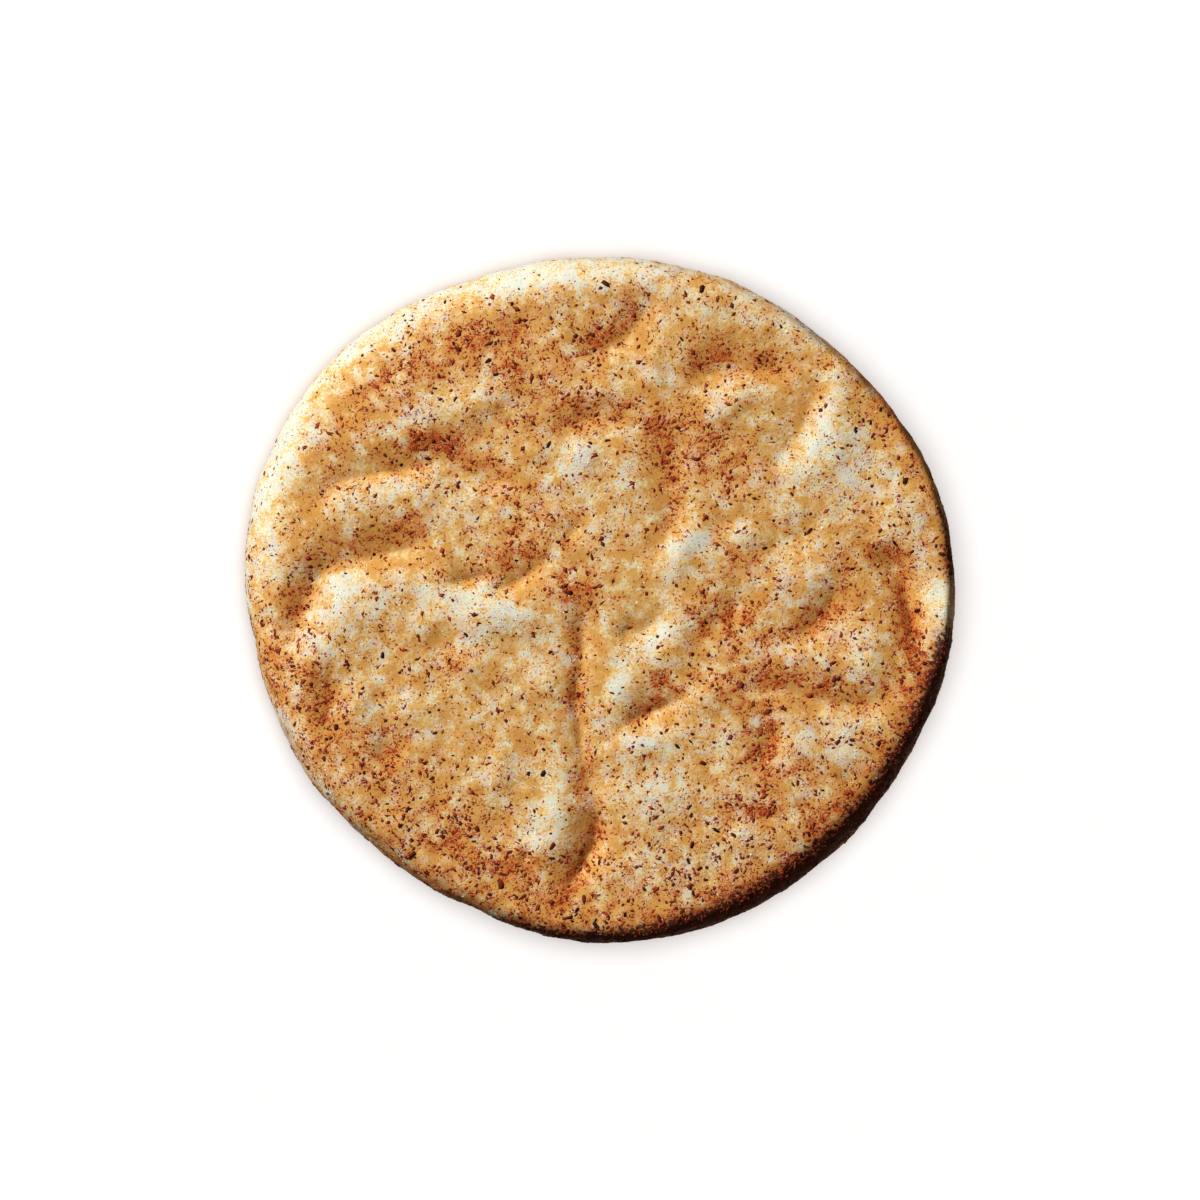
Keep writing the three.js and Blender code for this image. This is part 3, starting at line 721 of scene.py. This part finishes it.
def make_grains(name, places, shape, sizes, rough, sink, material):
    """One mesh of many grains.

    sizes gives length, width and thickness of each, rough how uneven its corners are, and sink how much of
    its thickness lies in the dough."""
    place, normal, rng = places
    count = len(place)
    corners, triangles = shape
    turned = frames_on(normal, rng)
    uneven = 1 + rough * rng.normal(size=(count, len(corners), 1)).clip(-2, 2)
    shifted = rough * 0.5 * rng.normal(size=(count, len(corners), 3)).clip(-2, 2)
    local = (corners[None] * uneven + shifted) * sizes[:, None, :] / 2
    local[..., 2] += (0.5 - sink) * sizes[:, None, 2]
    world = np.einsum("nij,nkj->nki", turned, local) + place[:, None, :]
    faces = triangles[None] + np.arange(count)[:, None, None] * len(corners)
    mesh = make_mesh(name, world.reshape(-1, 3), faces.reshape(-1, 3))
    tint = rng.random(count)
    add_values(mesh, "tint", np.repeat(tint, len(corners)))
    side = math.ceil(math.sqrt(count))
    cell = np.stack([np.arange(count) % side, np.arange(count) // side], -1)[:, None, :]
    flat = (corners[None, :, :2] * CELL_SHARE + 0.5 + cell) / side
    layer = mesh.uv_layers.new(name="OFBake")
    uv = flat.reshape(-1, 2)[faces.reshape(-1)]
    layer.data.foreach_set("uv", uv.astype(np.float32).ravel())
    return link(name, mesh, material)


SIZE_LIMITS = (0.5, 2.0)    # smallest and largest grain, as shares of the usual one
SIZE_JITTER = (0.75, 1.3)   # likewise for each of its three sizes on its own


def spread_sizes(count, rng, length, width, thickness, variety):
    """Length, width and thickness of each grain, with a few large ones among many small ones."""
    scale = np.exp(variety * rng.normal(size=(count, 1))).clip(*SIZE_LIMITS)
    jitter = rng.uniform(*SIZE_JITTER, size=(count, 3))
    return np.array([length, width, thickness]) * scale * jitter


def grains(name, surface, weights, count, seed, shape, size, rough, sink, material):
    places = scatter(surface["placed"], surface["faces"], weights, count, seed)
    sizes = spread_sizes(count, places[2], *size)
    return make_grains(name, places, shape, sizes, rough, sink, material)


UPPER_SIDE = (0.15, 1.35)   # heights between which the underside gives way to the wall
FLECK_CLUSTER = (1.6, 1.0, 51)      # size, amount and seed of the clusters of coarse flecks
FLECKS_IN_CRUST_AND_SHADE = 1.5       # how many more dark flecks lie on the shaded shoulder, where the crust and painted shade are full
FLECKS_UNDER, DUST_UNDER, SUGAR_UNDER = 0.1, 0.15, 0.3      # shares that are left on the underside
DUST_POWER = 1.4            # the more, the more the fine grains keep to the thickest dust
SUGAR_EVERYWHERE = 0.06
DUST_LOST, SUGAR_LOST = 0.85, 0.9   # shares that are hidden where the crust and painted shade are full, which keeps that shoulder dark


def grain_weights(surface):
    """How frequent coarse flecks, fine cinnamon and sugar are at each of the dough's points."""
    x, y, z = surface["points"].T
    dust, cream, crust = surface["dust"], surface["cream"], surface["crust"]
    side = rise(z, *UPPER_SIDE)
    flecks = BASE_FLECKS + sum(patch(x, y, *spot) for spot in FLECKS)
    clusters = (0.4 + 1.2 * layers(x, y, z, [FLECK_CLUSTER])).clip(0.1, None)
    flecks = flecks * clusters + FLECKS_IN_CRUST_AND_SHADE * crust
    flecks = flecks * at_least(0.5, dust / (dust + 0.2)) * at_least(FLECKS_UNDER, side) * covered(x, y)
    dusted = dust**DUST_POWER * at_least(DUST_UNDER, side) * (1 - DUST_LOST * crust)
    sugared = rise(cream, 0.2, 0.8) * at_least(SUGAR_UNDER, side) + SUGAR_EVERYWHERE
    sugared = sugared * (1 - SUGAR_LOST * crust)
    return flecks, dusted, sugared


# ---------------------------------------------------------------- materials


def add_node(tree, kind, inputs=None, **settings):
    node = tree.nodes.new(kind)
    for key, value in settings.items():
        setattr(node, key, value)
    for key, value in (inputs or {}).items():
        if isinstance(value, bpy.types.NodeSocket):
            tree.links.new(value, node.inputs[key])
        else:
            node.inputs[key].default_value = value
    return node


def new_material(name):
    material = bpy.data.materials.new(name)
    material.use_nodes = True
    tree = material.node_tree
    return material, tree, tree.nodes["Principled BSDF"]


def maths(tree, operation, a, b=0.0, c=0.0, clamp=False):
    inputs = {0: a, 1: b, 2: c}
    return add_node(tree, "ShaderNodeMath", inputs, operation=operation, use_clamp=clamp).outputs[0]


def noise(tree, where, size_mm, detail=2.0, roughness=0.5):
    """Noise from 0 to 1 with spots of that size."""
    inputs = {"Vector": where, "Scale": 1 / (size_mm * MM), "Detail": detail, "Roughness": roughness}
    return add_node(tree, "ShaderNodeTexNoise", inputs).outputs["Fac"]


def ramp(tree, value, stops):
    node = add_node(tree, "ShaderNodeValToRGB", {"Fac": value})
    elements = node.color_ramp.elements
    while len(elements) < len(stops):
        elements.new(0.5)
    for element, (place, colour) in zip(elements, stops):
        element.position = place
        element.color = (*colour, 1)
    return node.outputs["Color"]


def mix(tree, share, a, b, blend="MIX"):
    node = add_node(tree, "ShaderNodeMix", data_type="RGBA", blend_type=blend)
    for socket, value in ((node.inputs[0], share), (node.inputs[6], a), (node.inputs[7], b)):
        if isinstance(value, bpy.types.NodeSocket):
            tree.links.new(value, socket)
        else:
            socket.default_value = value if isinstance(value, float) else (*value, 1)
    return node.outputs[2]


def attribute(tree, name):
    node = add_node(tree, "ShaderNodeAttribute", attribute_name=name, attribute_type="GEOMETRY")
    return node.outputs["Fac"]


def band(tree, value, low, high, to_low=0.0, to_high=1.0):
    """A value from low to high turned into one from to_low to to_high, and held there beyond them."""
    inputs = {"Value": value, "From Min": low, "From Max": high, "To Min": to_low, "To Max": to_high}
    return add_node(tree, "ShaderNodeMapRange", inputs).outputs["Result"]


# Linear colours, from the deepest dough to the palest.
DOUGH_TONES = [
    (0.0, (0.67, 0.34, 0.075)),
    (0.3, (0.745, 0.455, 0.15)),
    (0.55, (0.80, 0.58, 0.27)),
    (0.8, (0.83, 0.72, 0.455)),
    (1.0, (0.72, 0.735, 0.62)),
]
CINNAMON_STAIN = (0.62, 0.15, 0.025)
CINNAMON_DUST = (0.28, 0.038, 0.012)
# Near-black of the rim's shaded shoulder and red-brown of its inner edge: crusted cinnamon and painted
# shade.
CRUST_AND_PAINTED_SHADE = (0.05, 0.010, 0.006)
CRUST_AND_SHADE_EDGE = (0.26, 0.055, 0.026)
BAKED_UNDERSIDE = (0.40, 0.19, 0.06)
BAKED_PALER = 1.5           # how much lighter its pale spots are

# Sizes of the spots in the dough's colour and surface, in millimetres.
MOTTLE = 0.9
STIPPLE = 0.26
STAIN = 0.9
STROKE = 0.5
STROKE_BREAK = 0.34
CRUST_AND_SHADE_SPOT = 0.45
CRUMB = 0.5
BUMP_HEIGHT = 0.08
BAKED_BUMP = 0.25           # share of the bump that is left on the underside


def dough_material():
    material, tree, shader = new_material("dough")
    where = add_node(tree, "ShaderNodeTexCoord").outputs["Object"]
    cream = attribute(tree, "cream")
    dust = attribute(tree, "dust")
    underneath = attribute(tree, "underneath")

    mottle = noise(tree, where, MOTTLE, 3.0, 0.6)
    grain = noise(tree, where, STIPPLE, 2.0, 0.6)
    evenness = band(tree, cream, 0.55, 1.0, 1.0, 0.4)
    patches = maths(tree, "MULTIPLY", band(tree, mottle, 0.3, 0.7, -0.46, 0.46), evenness)
    tone = maths(tree, "ADD", cream, patches)
    strength = band(tree, cream, 0.1, 0.6, 0.4, 1.0)
    stipple = maths(tree, "MULTIPLY", band(tree, grain, 0.25, 0.75, -0.6, 0.6), strength)
    tone = maths(tree, "ADD", tone, stipple, clamp=True)
    colour = ramp(tree, tone, DOUGH_TONES)

    cloudy = noise(tree, where, STAIN, 4.0, 0.7)
    stain = maths(tree, "MULTIPLY", dust, band(tree, cloudy, 0.35, 0.65, 0.0, 1.25), clamp=True)
    colour = mix(tree, stain, colour, CINNAMON_STAIN)
    curves = maths(tree, "ABSOLUTE", maths(tree, "SUBTRACT", noise(tree, where, STROKE, 1.0, 0.5), 0.5))
    gaps = band(tree, dust, 0.0, 1.0, 0.63, 0.42)
    breaks = maths(tree, "SUBTRACT", noise(tree, where, STROKE_BREAK, 1.0, 0.5), gaps)
    kept = maths(tree, "MULTIPLY", breaks, 12.0, clamp=True)
    strokes = maths(tree, "MULTIPLY", band(tree, curves, 0.055, 0.025), kept)
    colour = mix(tree, maths(tree, "MULTIPLY", strokes, 0.75), colour, CINNAMON_DUST)
    # The shaded shoulder of the rim, painted dark: crusted cinnamon and painted shade, fringed with a
    # red-brown painted shade.
    crust = attribute(tree, "crust")
    colour = mix(tree, band(tree, crust, 0.0, 0.8, 0.0, 0.6), colour, CRUST_AND_SHADE_EDGE)
    spots = band(tree, noise(tree, where, CRUST_AND_SHADE_SPOT, 2.0), 0.3, 0.7, -0.38, 0.38)
    crusted = maths(tree, "ADD", crust, spots)
    colour = mix(tree, band(tree, crusted, 0.45, 0.65, 0.0, 0.9), colour, CRUST_AND_PAINTED_SHADE)
    paler = tuple(BAKED_PALER * channel for channel in BAKED_UNDERSIDE)
    baked = mix(tree, band(tree, mottle, 0.3, 0.7), BAKED_UNDERSIDE, paler)
    colour = mix(tree, underneath, colour, baked)
    tree.links.new(colour, shader.inputs["Base Color"])

    crumb = noise(tree, where, CRUMB, 4.0, 0.65)
    surface = maths(tree, "ADD", crumb, maths(tree, "MULTIPLY", grain, 0.4))
    strength = band(tree, underneath, 0.0, 1.0, 1.0, BAKED_BUMP)
    inputs = {"Strength": strength, "Distance": BUMP_HEIGHT * MM, "Height": surface}
    bump = add_node(tree, "ShaderNodeBump", inputs)
    tree.links.new(bump.outputs["Normal"], shader.inputs["Normal"])
    tree.links.new(band(tree, crumb, 0.2, 0.8, 0.6, 0.85), shader.inputs["Roughness"])
    shader.inputs["Specular IOR Level"].default_value = 0.12
    shader.inputs["Subsurface Weight"].default_value = 0.35
    shader.inputs["Subsurface Radius"].default_value = (1.0, 0.42, 0.14)
    shader.inputs["Subsurface Scale"].default_value = 1.2 * MM
    return material


def cinnamon_material(name, dark, light, roughness):
    """Bark-brown grains, each with a tint of its own."""
    material, tree, shader = new_material(name)
    where = add_node(tree, "ShaderNodeTexCoord").outputs["Object"]
    fibres = noise(tree, where, 0.12, 2.0)
    tint = maths(tree, "ADD", attribute(tree, "tint"), band(tree, fibres, 0.3, 0.7, -0.2, 0.2), clamp=True)
    tree.links.new(mix(tree, tint, dark, light), shader.inputs["Base Color"])
    rough = band(tree, fibres, 0.3, 0.7, roughness - 0.1, roughness + 0.1)
    tree.links.new(rough, shader.inputs["Roughness"])
    shader.inputs["Specular IOR Level"].default_value = 0.08
    return material


def sugar_material():
    """Clear to pale grains, half melted into the dough."""
    material, tree, shader = new_material("sugar")
    shine = maths(tree, "MULTIPLY_ADD", attribute(tree, "tint"), 0.3, 0.2)
    colour = mix(tree, attribute(tree, "tint"), (0.80, 0.62, 0.36), (0.92, 0.85, 0.68))
    tree.links.new(colour, shader.inputs["Base Color"])
    tree.links.new(shine, shader.inputs["Roughness"])
    shader.inputs["IOR"].default_value = 1.54
    shader.inputs["Subsurface Weight"].default_value = 1.0
    shader.inputs["Subsurface Radius"].default_value = (1.0, 0.9, 0.8)
    shader.inputs["Subsurface Scale"].default_value = 0.3 * MM
    return material


def floor_material():
    material, tree, shader = new_material("floor")
    where = add_node(tree, "ShaderNodeTexCoord").outputs["Object"]
    paper = noise(tree, where, 3.0, 2.0)
    tree.links.new(mix(tree, paper, (0.93, 0.93, 0.93), (0.96, 0.96, 0.96)), shader.inputs["Base Color"])
    shader.inputs["Roughness"].default_value = 0.9
    shader.inputs["Specular IOR Level"].default_value = 0.1
    return material


# ---------------------------------------------------------------- camera, light and floor

VIEW_WIDTH = 132.0 * MM     # what the picture's whole width spans at the biscuit
LENS = 110.0
SENSOR_WIDTH = 36.0

# Each light: direction round from +X by +Y and upwards, strength, tint and spread, angles in degrees.
KEY = (137, 37, 4.65, (0.97, 1.0, 1.0), 9)
BOUNCE = (-45, -25, 0.26, (1.0, 0.80, 0.62), 90)    # thrown back by the table on the shaded side
UNDER = (0, -90, 1.1, (1.0, 0.80, 0.62), 60)        # from straight below, for the underside
ON_FLOOR = (0, 90, 3.2, (1.0, 1.0, 1.0), 60)
FILL_STRENGTH = 0.07
FILL_TINT = (1.0, 0.78, 0.60, 1)

# The floor, in metres: how far it is flat, how far it then curves up, and how high it ends.
FLOOR_FLAT = 0.7
FLOOR_CURVE = 0.6
FLOOR_TOP = 2.2
FLOOR_SIDES = 96
FLOOR_STEPS = 12
FLOOR_LIFT = 0.05 * MM      # keeps the floor out of the underside's own plane


def make_camera():
    """Looks straight down on the biscuit's widest place."""
    data = bpy.data.cameras.new("camera")
    data.lens = LENS
    data.sensor_width = SENSOR_WIDTH
    camera = bpy.data.objects.new("camera", data)
    bpy.context.scene.collection.objects.link(camera)
    middle = (CAD_LOW + CAD_HIGH) / 2
    away = VIEW_WIDTH * LENS / data.sensor_width
    camera.location = (middle.x, middle.y, GIRTH_HEIGHT * MM + away)
    bpy.context.scene.camera = camera


def make_floor():
    """A wide pale floor whose edge curves up on every side."""
    profile = [(0.0, 0.0), (FLOOR_FLAT, 0.0)]
    for i in range(1, FLOOR_STEPS + 1):
        turn = math.pi / 2 * i / FLOOR_STEPS
        profile.append((FLOOR_FLAT + FLOOR_CURVE * math.sin(turn), FLOOR_CURVE * (1 - math.cos(turn))))
    profile.append((FLOOR_FLAT + FLOOR_CURVE, FLOOR_TOP))
    vertices = [(0.0, 0.0, 0.0)]
    for radius, height in profile[1:]:
        for k in range(FLOOR_SIDES):
            turn = 2 * math.pi * k / FLOOR_SIDES
            vertices.append((radius * math.cos(turn), radius * math.sin(turn), height))
    faces = [(0, 1 + k, 1 + (k + 1) % FLOOR_SIDES) for k in range(FLOOR_SIDES)]
    for i in range(len(profile) - 2):
        first = 1 + i * FLOOR_SIDES
        for k in range(FLOOR_SIDES):
            a, b = first + k, first + (k + 1) % FLOOR_SIDES
            faces.append((a, a + FLOOR_SIDES, b + FLOOR_SIDES, b))
    mesh = bpy.data.meshes.new("floor")
    mesh.from_pydata(vertices, [], faces)
    mesh.polygons.foreach_set("use_smooth", np.ones(len(faces), bool))
    floor = link("floor", mesh, floor_material())
    floor.location.z = FLOOR_LIFT
    floor.visible_shadow = False
    floor.visible_diffuse = False
    floor.visible_glossy = False
    return floor


def shine_only_on(light, things):
    group = bpy.data.collections.new(light.name + "_lights")
    for thing in things:
        group.objects.link(thing)
    light.light_linking.receiver_collection = group


def make_sun(name, things, turn, upwards, strength, tint, spread):
    """A light that shines from that direction on these things only."""
    data = bpy.data.lights.new(name, "SUN")
    data.energy = strength
    data.color = tint
    data.angle = math.radians(spread)
    light = bpy.data.objects.new(name, data)
    bpy.context.scene.collection.objects.link(light)
    a, e = math.radians(turn), math.radians(upwards)
    towards = Vector((math.cos(a) * math.cos(e), math.sin(a) * math.cos(e), math.sin(e)))
    light.rotation_mode = "QUATERNION"
    light.rotation_quaternion = towards.to_track_quat("Z", "Y")
    light.location = towards
    shine_only_on(light, things)


def light_scene(biscuit, floor):
    make_sun("key", biscuit, *KEY)
    make_sun("bounce", biscuit, *BOUNCE)
    make_sun("under", biscuit, *UNDER)
    make_sun("floor_light", [floor], *ON_FLOOR)
    world = bpy.data.worlds.new("studio")
    bpy.context.scene.world = world
    world.use_nodes = True
    sky = world.node_tree.nodes["Background"]
    sky.inputs["Color"].default_value = FILL_TINT
    sky.inputs["Strength"].default_value = FILL_STRENGTH
    bpy.context.scene.view_settings.view_transform = "Standard"
    bpy.context.scene.view_settings.look = "None"


# ---------------------------------------------------------------- putting it together

make_camera()
floor = make_floor()

dough, surface = make_dough(dough_material())
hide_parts(NODE)
flecks, dusted, sugared = grain_weights(surface)

bark = cinnamon_material("cinnamon_bark", (0.022, 0.005, 0.004), (0.16, 0.022, 0.010), 0.65)
brown = cinnamon_material("cinnamon_brown", (0.12, 0.012, 0.008), (0.40, 0.052, 0.016), 0.75)
powder = cinnamon_material("cinnamon_powder", (0.28, 0.034, 0.012), (0.56, 0.11, 0.026), 0.85)

# For each kind: count, seed, shape, then length, width, thickness and how much they vary, unevenness, how
# deep it lies in the dough, and material.
GRAIN = spindle_shape(5, (-0.55, 0.55))
FINE_GRAIN = spindle_shape(4, (0.0,))
flakes = grains("cinnamon_flakes", surface, flecks,
                1400, 31, GRAIN, (0.42, 0.28, 0.10, 0.3), 0.18, 0.45, bark)
chips = grains("cinnamon_chips", surface, 0.25 * flecks + dusted,
               6000, 32, FINE_GRAIN, (0.44, 0.25, 0.05, 0.3), 0.2, 0.4, brown)
dusting = grains("cinnamon_powder", surface, dusted,
                 24000, 33, FINE_GRAIN, (0.28, 0.125, 0.035, 0.25), 0.2, 0.35, powder)
sugar = grains("sugar_crystals", surface, sugared,
               6000, 34, block_shape(), (0.13, 0.12, 0.05, 0.2), 0.06, 0.6, sugar_material())

for fine in (chips, dusting, sugar):
    fine.visible_shadow = False
biscuit = [dough, flakes, chips, dusting, sugar]
for piece in biscuit:
    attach(piece, "root")

light_scene(biscuit, floor)
